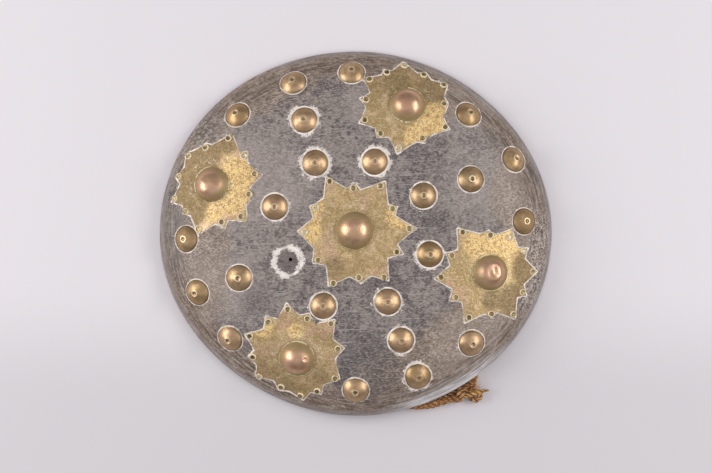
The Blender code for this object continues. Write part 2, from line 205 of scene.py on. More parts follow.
class Finish(NodeMaker):
    def __init__(self, name, roughness=0.5, metallic=0.0):
        self.material = bpy.data.materials.new(name)
        self.material.use_nodes = True
        super().__init__(self.material.node_tree)
        self.shader = self.tree.nodes["Principled BSDF"]
        self.shader.inputs["Roughness"].default_value = roughness
        self.shader.inputs["Metallic"].default_value = metallic
        self.place = self.node("TexCoord", output="Object")
        self.tone = None

    def value(self, name):
        return self.node("Attribute", {"attribute_name": name}, output="Fac")

    def grain(self, scale, detail=3.0, stretch=(1, 1, 1), turn=0.0, rough=0.55, bend=0.0):
        # Noise of so many bumps a metre, from 0 to 1
        spot = self.node("Mapping", inputs={
            "Vector": self.place, "Scale": stretch, "Rotation": (0, 0, math.radians(turn)),
        })
        return self.node("TexNoise", inputs={
            "Vector": spot, "Scale": scale, "Detail": detail, "Roughness": rough, "Distortion": bend,
        })

    def ringGrain(self, share, along, across, detail=3.0):
        # Noise drawn out along the rim
        flat = self.node("VectorMath", {"operation": "MULTIPLY"}, {0: self.place, 1: (1, 1, 0)})
        around = self.node("VectorMath", {"operation": "NORMALIZE"}, {0: flat})
        spot = self.node("VectorMath", {"operation": "MULTIPLY_ADD"}, {
            0: around, 1: (along, along, 0), 2: self.node("CombineXYZ", inputs={"Z": share * across}),
        })
        return self.node("TexNoise", inputs={"Vector": spot, "Scale": 1.0, "Detail": detail})

    def rise(self, value, low, high):
        # 0 under low, 1 over high, smooth between
        return self.node("MapRange", {"interpolation_type": "SMOOTHSTEP"}, {
            "Value": value, "From Min": low, "From Max": high,
        })

    def fall(self, value, low, high):
        return 1 - self.rise(value, low, high)

    def near(self, x, y, z, radius, soft):
        # 1 within a radius of a point, falling to 0 over a soft border
        ends = {0: self.place, 1: (x, y, z)}
        away = self.node("VectorMath", {"operation": "DISTANCE"}, ends, output="Value")
        return self.fall(away, radius, radius + soft)

    def spots(self, areas):
        # near() round each of some places on the front
        covered = 0.0
        for x, y, radius, soft in areas:
            covered = self.most(covered, self.near(x, y, frontHeight(x, y), radius, soft))
        return covered

    def most(self, first, second):
        return self.node("Math", {"operation": "MAXIMUM"}, {0: first, 1: second})

    def mix(self, factor, first, second):
        return self.node("Mix", {"data_type": "RGBA"}, {0: factor, 6: first, 7: second}, output=2)

    def paint(self, share, colour):
        # Lays a colour over the tone so far
        self.tone = self.mix(share, self.tone, colour)

    def bump(self, height, depth):
        self.feed(self.shader.inputs["Normal"], self.node("Bump", inputs={
            "Height": height, "Distance": depth, "Strength": 1.0,
        }))

    def done(self, roughness=None, metallic=None):
        for name, value in (("Base Color", self.tone), ("Roughness", roughness), ("Metallic", metallic)):
            if value is not None:
                self.feed(self.shader.inputs[name], value)
        return self.material


# Hide disc: the same form as its solid, finely divided, with the dried polish marked on its points

disc = {
    "halfWidth": 0.1722,
    "halfHeight": 0.1595,
    "cornerSwell": (-0.0018, 0.0009, -0.0024, -0.0012),
    "thickness": 0.0055,
    "rise": 0.030,
    "fullness": 4.6,
    "edgeWidth": 0.0055,
    "edgeDrop": 0.010,
    "edgeRound": 0.0022,
    "footChamfer": (0.0004, 0.0008),
    "footInset": 0.0012,
    "footWidth": 0.0032,
    "liftHeight": 0.0088,
    "liftFrom": -84.0,
    "liftTo": -42.0,
    "liftFade": 35.0,
    "liftStarts": 0.60,
    "liftFull": 0.95,
    "sides": 480,
    "crownRings": 128,
    "flankSteps": 9,
    "backRings": 24,
    "waves": 0.00016,  # hand-worked unevenness
    "wavesSize": 0.022,
    "wavesFrom": 0.003,  # heights over which the unevenness sets in
    "wavesFade": 0.004,
    "holeSides": 20,
    "paleAreas": (  # x, y, radius, soft border
        (-0.090, 0.046, 0.023, 0.042), (0.108, 0.044, 0.010, 0.040), (0.098, -0.100, 0.018, 0.032),
        (-0.112, -0.046, 0.016, 0.032), (0.090, 0.119, 0.024, 0.026), (0.004, 0.113, 0.008, 0.020),
        (0.062, 0.098, 0.008, 0.020), (-0.052, 0.032, 0.004, 0.022),
    ),
    "darkAreas": (
        (0.012, -0.121, 0.018, 0.026), (0.020, -0.044, 0.002, 0.026), (0.070, 0.010, 0.002, 0.016),
        (-0.086, -0.058, 0.000, 0.022), (-0.168, 0.014, 0.016, 0.026), (0.146, -0.050, 0.012, 0.018),
        (-0.134, 0.098, 0.012, 0.020), (0.160, 0.052, 0.002, 0.018), (-0.160, -0.026, 0.003, 0.022),
    ),
    "brownAreas": (
        (0.095, -0.100, 0.030, 0.060), (-0.150, -0.020, 0.030, 0.050), (0.150, 0.030, 0.014, 0.050),
        (0.066, 0.130, 0.012, 0.040),
    ),
}
crownRadius = disc["halfWidth"] - disc["edgeWidth"]

studs = {
    "radius": 0.0115,
    "height": 0.0052,
    "pinRadius": 0.0013,
    "pinRoom": 0.0003,
    "pinRingHeight": 0.0003,
    "clenchRadius": 0.0026,
    "clenchThickness": 0.0009,
    "clenchGap": 0.0003,
    "hammered": 0.00022,
    "hammeredSize": 0.0052,
    "outOfRound": 0.030,
    "sides": 40,
    "domeRings": 14,
    "inner": ((29, 0.397), (75, 0.397), (120, 0.426), (162, 0.426), (246, 0.427), (295, 0.404),
              (344, 0.387)),  # angle, and share of the rim's reach
    "middle": ((25, 0.649), (114.5, 0.661), (201, 0.635), (293, 0.623)),
    "outer": ((4, 0.851), (25, 0.899), (46.5, 0.871), (91.5, 0.876), (112.5, 0.876), (135, 0.874),
              (182, 0.855), (200.5, 0.866), (220, 0.867), (270, 0.852), (293.5, 0.840), (316.5, 0.838)),
    "lostPin": (202, 0.357),
    "lostRing": (202.5, 0.374),
    # Each pin end's ring height, which also sets how strong its painted highlight and painted shade are
    "pinRings": (0.6, 0.45, 0.5, 0.6, 0.4, 0.45, 0.55, 0.9, 0.5, 0.8, 0.35, 0.6, 0.5, 0.5, 0.8, 0.7, 0.6,
                 0.55, 0.6, 0.8, 0.9, 0.3, 0.55),  # how plainly each pin's end shows
}
studPlaces = studs["inner"] + studs["middle"] + studs["outer"]

stars = {
    "thickness": 0.0008,
    "edgeParts": 8,  # points to each side of a star's point
    "unevenEdge": 0.0005,
    "unevenSize": 0.009,
    "edgeBevel": 0.00018,
    "bedded": 0.0001,  # how far a plate's underside is pressed into the hide
    "rings": (0.985, 0.965, 0.94, 0.91, 0.87, 0.82, 0.76, 0.70, 0.64, 0.58, 0.52, 0.46, 0.40, 0.34, 0.28),
    "waves": 0.00028,
    "wavesSize": 0.017,
}
starPoints = {
    "centre": {
        "place": (110, 0.015),
        "reach": 0.326,
        "long": ((2, 1.00), (58, 0.94), (118, 0.99), (181, 0.92), (245, 0.99), (304, 0.98)),
        "short": ((29, 0.79), (90, 0.77), (152, 0.82), (217, 0.86), (277, 0.86), (334, 0.87)),
        "valleys": ((20, 0.69), (37, 0.68), (82, 0.66), (101, 0.69), (134, 0.72), (163, 0.70),
                    (204, 0.72), (231, 0.73), (264, 0.75), (290, 0.78), (320, 0.69), (342, 0.72)),
        "tacks": ((2, 0.89), (30, 0.71), (60, 0.84), (92, 0.69), (117, 0.90), (149, 0.74),
                  (182, 0.82), (219, 0.77), (248, 0.93), (275, 0.77), (302, 0.90), (333, 0.77)),
    },
    "top": {
        "place": (68, 0.744),
        "reach": 0.275,
        "long": ((28, 0.91), (94, 0.88), (148, 1.00), (201, 1.00), (258, 0.97), (330, 0.95)),
        "short": ((2, 0.80), (61, 0.77), (123, 0.84), (172, 0.93), (227, 0.88), (294, 0.81)),
        "valleys": ((14, 0.74), (47, 0.70), (72, 0.68), (113, 0.75), (130, 0.78), (162, 0.76),
                    (183, 0.80), (216, 0.77), (240, 0.72), (283, 0.74), (303, 0.73), (340, 0.74)),
        "tacks": ((2, 0.71), (30, 0.82), (62, 0.69), (94, 0.80), (122, 0.76), (146, 0.90),
                  (173, 0.82), (200, 0.89), (227, 0.78), (258, 0.87), (293, 0.72), (329, 0.85)),
    },
    "left": {
        "place": (161.3, 0.767),
        "reach": 0.275,
        "long": ((10, 0.94), (69, 1.00), (131, 0.78), (202, 0.83), (255, 0.95), (314, 0.95)),
        "short": ((42, 0.89), (99, 0.77), (168, 0.72), (224, 0.76), (287, 0.83), (344, 0.81)),
        "valleys": ((31, 0.76), (50, 0.79), (90, 0.73), (118, 0.72), (148, 0.62), (178, 0.60),
                    (215, 0.67), (235, 0.69), (275, 0.71), (295, 0.71), (329, 0.73), (355, 0.70)),
        "tacks": ((13, 0.82), (41, 0.79), (70, 0.90), (100, 0.69), (130, 0.69), (166, 0.64),
                  (200, 0.74), (226, 0.69), (254, 0.85), (286, 0.72), (313, 0.81), (345, 0.72)),
    },
    "right": {
        "place": (-16.4, 0.708),
        "reach": 0.284,
        "long": ((1, 0.87), (63, 0.86), (127, 0.98), (186, 1.00), (243, 0.99), (299, 0.95)),
        "short": ((32, 0.81), (92, 0.75), (156, 0.86), (214, 0.87), (272, 0.80), (328, 0.79)),
        "valleys": ((21, 0.68), (42, 0.67), (82, 0.68), (105, 0.71), (145, 0.70), (170, 0.72),
                    (203, 0.72), (225, 0.71), (263, 0.72), (280, 0.71), (318, 0.66), (341, 0.65)),
        "tacks": ((1, 0.77), (33, 0.71), (61, 0.72), (91, 0.67), (125, 0.88), (156, 0.76),
                  (185, 0.89), (215, 0.76), (244, 0.88), (271, 0.73), (299, 0.85), (329, 0.68)),
    },
    "bottom": {
        "place": (-115.1, 0.747),
        "reach": 0.309,
        "long": ((46, 0.95), (100, 0.98), (155, 1.00), (204, 0.81), (278, 0.75), (335, 0.82)),
        "short": ((13, 0.84), (75, 0.82), (126, 0.91), (178, 0.85), (240, 0.66), (304, 0.75)),
        "valleys": ((1, 0.66), (29, 0.71), (62, 0.69), (87, 0.76), (116, 0.77), (138, 0.77),
                    (169, 0.75), (190, 0.72), (224, 0.57), (256, 0.60), (291, 0.64), (315, 0.65)),
        "tacks": ((14, 0.74), (46, 0.86), (75, 0.73), (100, 0.88), (127, 0.81), (154, 0.91),
                  (178, 0.77), (206, 0.74), (241, 0.58), (275, 0.66), (302, 0.67), (333, 0.75)),
    },
}

polish = {  # width of the dried polish, and how far it is smeared from 0 to 1, in the studs' order
    "studWidths": (0.0010, 0.0014, 0.0014, 0.0012, 0.0011, 0.0013, 0.0011, 0.0008, 0.0014, 0.0009,
                   0.0010, 0.0008, 0.0009, 0.0009, 0.0009, 0.0008, 0.0008, 0.0009, 0.0008, 0.0009,
                   0.0009, 0.0011, 0.0009),
    "studSmears": (0.4, 1.0, 0.9, 0.6, 0.5, 0.7, 0.7, 0.3, 1.0, 0.3, 0.7,
                   0.2, 0.5, 0.4, 0.3, 0.2, 0.4, 0.3, 0.2, 0.4, 0.4, 1.0, 0.5),
    "starWidth": 0.0008,
    "starSmear": 0.35,
    "starsKept": {"centre": 0.8, "top": 0.45, "left": 0.30, "right": 0.6, "bottom": 0.5},  # 1 is unbroken
    "cornerWidth": 0.0007,  # more of it in the stars' corners
    "cornerReach": 0.0028,
    "unevenWidth": 0.5,
    "unevenSize": 0.011,
    "lostRingRadius": 0.0122,
    "lostRingWidth": 0.0012,
}


def rimReach(angle):
    turn = math.radians(angle)
    oval = 1 / math.hypot(math.cos(turn) / disc["halfWidth"], math.sin(turn) / disc["halfHeight"])
    return oval + disc["cornerSwell"][int((angle % 360) // 90)] * math.sin(2 * turn) ** 2


def rimLift(angle):
    angle = (angle + 180) % 360 - 180
    before = smoothStep(1 - (disc["liftFrom"] - angle) / disc["liftFade"])
    after = smoothStep(1 - (angle - disc["liftTo"]) / disc["liftFade"])
    return disc["liftHeight"] * min(before, after)


def crownHeight(radius):
    return disc["edgeDrop"] + disc["rise"] * (1 - (radius / crownRadius) ** disc["fullness"])


def crownSlope(radius):
    return disc["rise"] * disc["fullness"] / crownRadius * (radius / crownRadius) ** (disc["fullness"] - 1)


def warped(point):
    x, y, z = point
    angle = math.degrees(math.atan2(y, x))
    spread = rimReach(angle) / disc["halfWidth"]
    out = math.hypot(x, y) / disc["halfWidth"]
    lift = rimLift(angle) * smoothStep((out - disc["liftStarts"]) / (disc["liftFull"] - disc["liftStarts"]))
    return Vector((x * spread, y * spread, z + lift))


def frontHeight(x, y):
    angle = math.degrees(math.atan2(y, x))
    radius = math.hypot(x, y) * disc["halfWidth"] / rimReach(angle)
    return warped((*toward(angle, radius), crownHeight(min(radius, crownRadius)))).z


def frontPoint(x, y):
    step = 0.0005
    across = (frontHeight(x + step, y) - frontHeight(x - step, y)) / (2 * step)
    up = (frontHeight(x, y + step) - frontHeight(x, y - step)) / (2 * step)
    return Vector((x, y, frontHeight(x, y))), Vector((-across, -up, 1)).normalized()


def onDisc(angle, share):
    return toward(angle, share * rimReach(angle))


def starSpots(star, places):
    # Places round the star's middle, from their angles and shares of its longest reach
    x, y = onDisc(*star["place"])
    longest = star["reach"] * rimReach(star["place"][0])
    spots = [toward(angle, share * longest) for angle, share in sorted(places)]
    return [(x + across, y + up) for across, up in spots]


def starCorners(star):
    return starSpots(star, star["long"] + star["short"] + star["valleys"])


def awayFromOutline(points, corners):
    # Distance from each point to a closed outline, less than zero inside it
    x, y = points[:, 0], points[:, 1]
    nearest = np.full(len(points), 1e9)
    inside = np.zeros(len(points), dtype=bool)
    for (ax, ay), (bx, by) in zip(corners, corners[1:] + corners[:1]):
        ex, ey = bx - ax, by - ay
        share = np.clip(((x - ax) * ex + (y - ay) * ey) / (ex * ex + ey * ey), 0, 1)
        nearest = np.minimum(nearest, np.hypot(x - ax - share * ex, y - ay - share * ey))
        crosses = (ay > y) != (by > y)
        inside ^= crosses & (x < ax + (y - ay) * ex / (ey if ey else 1e-12))
    return np.where(inside, -nearest, nearest)


def starRim(star):
    # The cut edge, a little uneven between its corners
    corners = starCorners(star)
    rim = []
    for start, end in zip(corners, corners[1:] + corners[:1]):
        side = Vector(end) - Vector(start)
        for part in range(stars["edgeParts"]):
            share = part / stars["edgeParts"]
            spot = Vector(start) + side * share
            uneven = stars["unevenEdge"] * math.sin(math.pi * share)
            uneven *= ripple((*spot, 0), stars["unevenSize"], 4.2)
            rim.append(tuple(spot + side.orthogonal().normalized() * uneven))
    return rim


def discSection():
    crown = [crownRadius * step / disc["crownRings"] for step in range(disc["crownRings"] + 1)]
    section = [(radius, crownHeight(radius)) for radius in crown]
    top = Vector((crownRadius, disc["edgeDrop"]))
    corner = Vector((disc["halfWidth"], disc["edgeDrop"] - disc["edgeWidth"] * crownSlope(crownRadius)))
    bottom = Vector((disc["halfWidth"], disc["edgeRound"]))
    for step in range(1, disc["flankSteps"] + 1):
        share = step / disc["flankSteps"]
        section.append(tuple(top.lerp(corner, share).lerp(corner.lerp(bottom, share), share)))
    foot = disc["halfWidth"] - disc["footInset"]
    chamferIn, chamferUp = disc["footChamfer"]
    section += [(disc["halfWidth"] - chamferIn, chamferUp), (foot, 0), (foot - disc["footWidth"], 0)]
    for step in range(disc["backRings"], -1, -1):
        radius = crownRadius * step / disc["backRings"]
        lean = math.atan(crownSlope(radius))
        section.append((radius - disc["thickness"] * math.sin(lean),
                        crownHeight(radius) - disc["thickness"] * math.cos(lean)))
    return section


def hideFinish():
    finish = Finish("hideFinish")
    rim = finish.value("rimShare")
    away = finish.value("polishAway")
    clouds = finish.grain(24, 3, bend=0.5)
    blotches = finish.grain(80, 4, bend=0.8)
    patchy = finish.grain(190, 3)
    mottle = finish.grain(390, 4, stretch=(0.85, 1, 1), turn=14, rough=0.66)
    level = finish.grain(900, 1, stretch=(0.52, 1, 1), turn=10)
    slanted = finish.grain(900, 1, stretch=(0.45, 1, 1), turn=-42)
    around = finish.ringGrain(rim, 20, 190, 3)
    fine = level + (slanted - level) * finish.rise(clouds, 0.44, 0.56)
    fine = fine + (around - fine) * finish.rise(rim, 0.80, 0.92) * 0.5
    scratches = finish.grain(640, 2, stretch=(0.045, 1, 1), turn=7)
    crossed = finish.grain(560, 2, stretch=(0.05, 1, 1), turn=-32)
    streaks = finish.ringGrain(rim, 9, 120, 5)

    finish.tone = finish.mix(finish.rise(mottle, 0.39, 0.62), (0.102, 0.083, 0.081), (0.262, 0.222, 0.207))
    cloudy = finish.rise(clouds + (blotches - 0.5) * 0.5 + (patchy - 0.5) * 0.8, 0.42, 0.62)
    finish.paint(cloudy * 0.66, (0.330, 0.276, 0.248))
    finish.paint(finish.fall(blotches + (patchy - 0.5) * 0.8, 0.36, 0.50) * 0.48, (0.084, 0.068, 0.068))
    pale = finish.spots(disc["paleAreas"])
    dark = finish.spots(disc["darkAreas"])
    finish.paint(pale * 0.32, (0.430, 0.365, 0.328))
    finish.paint(dark * 0.36, (0.074, 0.063, 0.067))
    finish.paint(finish.rise(fine, 0.52, 0.68) * 0.60, (0.420, 0.365, 0.335))
    finish.paint(finish.fall(fine, 0.33, 0.48) * 0.52, (0.060, 0.048, 0.049))
    marks = finish.most(finish.rise(scratches, 0.61, 0.70) * 0.60, finish.rise(crossed, 0.64, 0.72) * 0.55)
    finish.paint(marks, (0.470, 0.420, 0.395))
    # Bare brown hide toward the rim, worn pale in places
    lean = finish.spots(disc["brownAreas"]) * 0.22
    brown = finish.rise(rim + lean + (clouds - 0.5) * 0.45 + (blotches - 0.5) * 0.30, 0.74, 0.93)
    bare = finish.mix(finish.rise(mottle, 0.34, 0.66), (0.158, 0.108, 0.074), (0.360, 0.264, 0.192))
    faded = finish.rise(fine + (blotches - 0.5) * 0.5, 0.52, 0.66)
    bare = finish.mix(faded * 0.70, bare, (0.520, 0.430, 0.360))
    bare = finish.mix(finish.fall(fine, 0.34, 0.48) * 0.62, bare, (0.085, 0.060, 0.048))
    finish.paint(brown * 0.82, bare)
    finish.paint(pale * 0.17, (0.560, 0.470, 0.410))
    shade = finish.mix(finish.rise(fine, 0.36, 0.66), (0.046, 0.037, 0.037), (0.190, 0.162, 0.156))
    finish.paint(dark * 0.46, shade)
    band = finish.rise(rim, 0.84, 0.91) * finish.fall(rim, 0.960, 0.974)
    finish.paint(band * finish.rise(streaks, 0.49, 0.61) * 0.72, (0.092, 0.064, 0.050))
    finish.paint(band * finish.fall(streaks, 0.34, 0.44) * 0.55, (0.400, 0.350, 0.315))
    # Worn patches: crackle on the right, pits and pale strokes on the left
    crackled = finish.near(0.162, -0.026, 0.020, 0.028, 0.036) * finish.rise(rim, 0.84, 0.90)
    worms = finish.grain(440, 2, bend=1.6)
    finish.paint(crackled * finish.rise(worms, 0.49, 0.57) * 0.85, (0.575, 0.488, 0.428))
    finish.paint(crackled * finish.fall(worms, 0.41, 0.50) * 0.80, (0.085, 0.058, 0.047))
    pitted = finish.near(-0.160, 0.046, 0.016, 0.012, 0.014)
    pits = finish.rise(blotches + (worms - 0.5) * 0.9, 0.56, 0.66)
    finish.paint(pitted * pits * 0.8, (0.050, 0.036, 0.034))
    strokes = finish.grain(520, 2, stretch=(0.10, 1, 1), turn=-28)
    worn = finish.near(-0.135, 0.082, 0.018, 0.018, 0.016)
    finish.paint(worn * finish.rise(strokes, 0.48, 0.60) * 0.55, (0.500, 0.430, 0.370))
    # The smooth grey edge, silvery where the rim lifts
    edge = finish.rise(rim + (streaks - 0.5) * 0.030, 0.966, 0.980)
    edge = edge * (1 - finish.near(-0.120, 0.110, 0.016, 0.045, 0.030) * 0.9)
    smooth = finish.mix(finish.rise(streaks, 0.38, 0.60), (0.360, 0.322, 0.316), (0.215, 0.180, 0.168))
    finish.paint(edge * 0.62, smooth)
    lifted = finish.near(0.083, -0.136, 0.018, 0.022, 0.044)
    silvered = finish.rise(streaks + (fine - 0.5) * 0.5, 0.38, 0.62)
    silver = finish.mix(silvered, (0.860, 0.835, 0.850), (0.440, 0.415, 0.415))
    finish.paint(lifted * finish.rise(rim + (streaks - 0.5) * 0.02, 0.950, 0.958) * 0.85, silver)
    lines = finish.ringGrain(rim, 3, 210, 3)
    lined = lifted * finish.rise(rim, 0.900, 0.915)
    finish.paint(lined * finish.rise(lines, 0.50, 0.60) * 0.55, (0.420, 0.390, 0.370))
    finish.paint(lined * finish.fall(lines, 0.36, 0.44) * 0.60, (0.085, 0.070, 0.062))
    # The dark place of the lost stud
    x, y = onDisc(*studs["lostRing"])
    lost = finish.near(x, y, frontHeight(x, y), 0.0098, 0.0016)
    finish.paint(lost * 0.55, (0.115, 0.090, 0.090))
    # Dried polish: a crisp line against each fitting, and specks beside it
    ragged = finish.grain(300, 3)
    kept = finish.rise(finish.grain(85, 2) + finish.value("polishKept") * 0.4, 0.52, 0.62)
    line = finish.fall(away + (ragged - 0.5) * 1.3, 0.70, 1.20) * kept
    line = line * (0.45 + finish.rise(finish.grain(170, 3), 0.40, 0.55) * 0.55)
    patches = finish.rise(finish.grain(105, 2) + finish.value("polishSmear") * 0.12, 0.50, 0.66)
    halo = finish.value("polishSmear") * patches * finish.fall(away, 1.0, 4.2)
    dust = finish.rise(finish.grain(620, 4, rough=0.7) + halo * 0.26, 0.61, 0.72)
    dust = dust * finish.rise(halo, 0.02, 0.25)
    white = finish.most(line, dust * 0.80)
    finish.paint(white, (0.960, 0.870, 0.805))
    finish.bump(mottle * 0.8 + fine * 0.5 + marks * 0.3 + white * 0.6, 0.00020)
    return finish.done(0.46 + (blotches - 0.5) * 0.22 + white * 0.30)


def makeDisc():
    mesh = spunMesh(discSection(), disc["sides"])
    for vertex in mesh.verts:
        vertex.co = warped(vertex.co)
        height = disc["waves"] * ripple(vertex.co, disc["wavesSize"])
        vertex.co.z += height * smoothStep((vertex.co.z - disc["wavesFrom"]) / disc["wavesFade"])
    piece = newPiece("hideDisc", mesh, hideFinish(), ["hide_disc"], smoothUnder=50)

    # Holes for the lost stud's pin and the cord
    holes = bmesh.new()
    for x, y, radius in ((*onDisc(*studs["lostPin"]), studs["pinRadius"] + studs["pinRoom"]),
                         (*cord["rightRoute"][0][:2], cord["radius"] + cord["holeRoom"]),
                         (*cord["bottomRoute"][0][:2], cord["radius"] + cord["holeRoom"])):
        middle, axis = frontPoint(x, y)
        hole = bmesh.new()
        bmesh.ops.create_cone(hole, cap_ends=True, segments=disc["holeSides"], radius1=radius,
                              radius2=radius, depth=0.04)
        standOn(hole, middle, axis if radius < cord["radius"] else Vector((0, 0, 1)))
        addMesh(holes, hole)
    cutter = inScene("discHoles", meshData("discHoles", holes))
    drill = piece.modifiers.new("drill", "BOOLEAN")
    drill.operation = "DIFFERENCE"
    drill.object = cutter
    graph = bpy.context.evaluated_depsgraph_get()
    drilled = bpy.data.meshes.new_from_object(piece.evaluated_get(graph))
    piece.modifiers.clear()
    piece.data = drilled
    bpy.data.objects.remove(cutter)

    # The dried polish: how many of its widths away, how smeared and how whole it is
    points = pointsOf(piece)
    away = np.full(len(points), 1e3)
    smear = np.zeros(len(points))
    kept = np.ones(len(points))

    def keepNearest(distance, width, amount, whole=1.0):
        shares = distance / width
        smear[shares < away] = amount
        kept[shares < away] = whole
        np.minimum(away, shares, out=away)

    for number, place in enumerate(studPlaces):
        out = awayFromAxis(points, *frontPoint(*onDisc(*place)))
        keepNearest(out - studs["radius"], polish["studWidths"][number], polish["studSmears"][number])
    x, y = onDisc(*studs["lostRing"])
    ring = np.abs(np.hypot(points[:, 0] - x, points[:, 1] - y) - polish["lostRingRadius"])
    keepNearest(ring, polish["lostRingWidth"], 1.0)
    for name, star in starPoints.items():
        nearest = np.min([np.hypot(points[:, 0] - x, points[:, 1] - y) for x, y in starCorners(star)], axis=0)
        width = polish["starWidth"] + polish["cornerWidth"] * np.exp(-nearest / polish["cornerReach"])
        close = np.flatnonzero(nearest < 0.03)
        width[close] *= [1 + polish["unevenWidth"] * ripple(points[index], polish["unevenSize"], 6.0)
                         for index in close]
        keepNearest(awayFromOutline(points, starRim(star)), width, polish["starSmear"],
                    polish["starsKept"][name])
    behind = points[:, 2] < np.array([frontHeight(x, y) - 0.003 for x, y, z in points])
    away[behind] = 99.0
    storeValues(piece, "polishAway", np.clip(away, -2, 99))
    storeValues(piece, "polishSmear", smear)
    storeValues(piece, "polishKept", kept)
    turns = np.degrees(np.arctan2(points[:, 1], points[:, 0]))
    reaches = np.array([rimReach(angle) for angle in turns])
    storeValues(piece, "rimShare", np.hypot(points[:, 0], points[:, 1]) / reaches)
    print("disc made")


# Star plates

def brassFinish(name, polishedHighlitAreas, dulls):
    # Aged sheet brass, with polished patches painted brighter as a painted highlight, and patches gone brown
    finish = Finish(name)
    edge = finish.value("edgeIn")
    foot = finish.value("bossAway")
    clouds = finish.grain(60, 3, bend=0.8)
    tints = finish.grain(48, 2, turn=40)
    mottle = finish.grain(300, 4, rough=0.7)
    worms = finish.grain(520, 3, bend=1.4)
    fine = finish.grain(920, 1)

    def patches(areas, raggedness):
        ragged = finish.spots(areas) + (clouds - 0.5) * raggedness + (worms - 0.5) * raggedness * 0.7
        return finish.rise(ragged, 0.22, 0.78)

    finish.tone = finish.mix(finish.rise(clouds, 0.38, 0.62), (0.542, 0.388, 0.186), (0.742, 0.535, 0.300))
    finish.paint(finish.rise(tints, 0.50, 0.64) * 0.75, (0.690, 0.445, 0.300))
    finish.paint(finish.fall(mottle, 0.38, 0.54) * 0.54, (0.405, 0.284, 0.126))
    dull = patches(dulls, 0.6)
    worn = finish.mix(finish.rise(mottle, 0.35, 0.62), (0.215, 0.142, 0.062), (0.365, 0.258, 0.130))
    finish.paint(dull * 0.85, worn)
    finish.paint(finish.rise(fine, 0.52, 0.68) * (0.34 - dull * 0.17), (1.000, 0.860, 0.600))
    finish.paint(finish.fall(fine, 0.33, 0.47) * 0.36, (0.250, 0.170, 0.070))
    rubbed = finish.most(finish.rise(finish.grain(560, 2, stretch=(0.16, 1, 1), turn=38), 0.62, 0.72),
                         finish.rise(finish.grain(560, 2, stretch=(0.16, 1, 1), turn=-52), 0.62, 0.72))
    finish.paint(rubbed * (0.40 - dull * 0.20), (1.000, 0.850, 0.600))
    # Polished patches, painted pale gold and less metallic: part real polish, part painted highlight where
    # the plates face the lamps
    polishedAndHighlit = patches(polishedHighlitAreas, 0.9)
    specked = finish.rise(worms + (mottle - 0.5) * 0.8 + (fine - 0.5) * 0.5, 0.33, 0.60)
    polishedHighlitTone = finish.mix(specked, (0.460, 0.275, 0.120), (0.970, 0.700, 0.305))
    finish.paint(polishedAndHighlit * 0.90, polishedHighlitTone)
    # Pale specks in a rough ring outside the boss, a pale line at its foot and a darker band on the plate
    # close round it
    ring = finish.rise(foot, 0.0020, 0.0040) * finish.fall(foot, 0.0062, 0.0095)
    specks = ring * finish.rise(worms, 0.55, 0.62) * finish.rise(tints + clouds, 0.92, 1.10)
    finish.paint(specks * 0.80, (0.960, 0.860, 0.600))
    finish.paint(finish.fall(foot, 0.0006, 0.0024) * 0.45, (0.300, 0.225, 0.080))
    line = finish.fall(foot + (mottle - 0.5) * 0.0012, 0.0004, 0.0009)
    line = line * finish.rise(clouds + worms, 0.94, 1.08)
    finish.paint(line * 0.80, (0.980, 0.880, 0.580))
    finish.paint(finish.fall(edge, 0.0003, 0.0009) * 0.55, (0.300, 0.220, 0.110))
    lip = finish.fall(edge, 0.00005, 0.0003) * 0.8
    finish.paint(lip, (0.900, 0.800, 0.620))
    dents = clouds * 1.8 + mottle * (1.1 - dull * 0.5) + worms * (0.3 + polishedAndHighlit * 0.7) + fine * 0.20
    finish.bump(dents, 0.00038)
    roughness = 0.49 + (mottle - 0.5) * 0.18 + lip * 0.3 + dull * 0.20
    metal = finish.most(1 - polishedAndHighlit * 0.60 - dull * 0.45 - line * 0.5, 0.0) * (1 - lip * 0.8)
    return finish.done(roughness, metal)


def plateMesh(star):
    x, y = onDisc(*star["place"])
    around = starRim(star)
    mesh = bmesh.new()
    ring = bmesh.ops.create_circle(mesh, segments=len(around), radius=1)["verts"]
    for vertex, (px, py) in zip(ring, around):
        vertex.co = (px, py, 0)
    edges = mesh.edges[:]
    before = 1.0
    middle = Matrix.Translation((-x, -y, 0))
    for share in stars["rings"]:
        grown = bmesh.ops.extrude_edge_only(mesh, edges=edges)["geom"]
        ring = only(bmesh.types.BMVert, grown)
        edges = only(bmesh.types.BMEdge, grown)
        bmesh.ops.scale(mesh, vec=(share / before, share / before, 1), space=middle, verts=ring)
        before = share
    bmesh.ops.recalc_face_normals(mesh, faces=mesh.faces)
    if sum(face.normal.z for face in mesh.faces) < 0:
        bmesh.ops.reverse_faces(mesh, faces=mesh.faces)
    tops = only(bmesh.types.BMVert, bmesh.ops.extrude_face_region(mesh, geom=mesh.faces[:])["geom"])
    bmesh.ops.translate(mesh, verts=tops, vec=(0, 0, stars["thickness"] + 2 * stars["bedded"]))
    bmesh.ops.recalc_face_normals(mesh, faces=mesh.faces)
    halfWay = 0.0005
    rim = [edge for edge in mesh.edges if all(end.co.z > halfWay for end in edge.verts)
           and len(edge.link_faces) == 2 and edge.calc_face_angle(0) > 1]
    bmesh.ops.bevel(mesh, geom=rim, offset=stars["edgeBevel"], segments=2, profile=0.5, affect="EDGES",
                    material=-1)
    for vertex in mesh.verts:
        spot = vertex.co
        lift = stars["waves"] * max(-0.3, ripple((spot.x, spot.y, 0), stars["wavesSize"], 3.1))
        vertex.co.z += frontHeight(spot.x, spot.y) - stars["bedded"] + (lift if spot.z > halfWay else 0)
    return mesh


tacks = {
    "radius": 0.0024,
    "height": 0.0011,
    "lip": 0.0031,  # ring of pale metal and polish pressed up round each head
    "sides": 18,
    "filled": 0.2,  # share of the heads that polish has filled
    "uneven": 0.00012,
    "unevenSize": 0.0012,
}


def tackPlaces(star):
    return [frontPoint(*spot) for spot in starSpots(star, star["tacks"])]


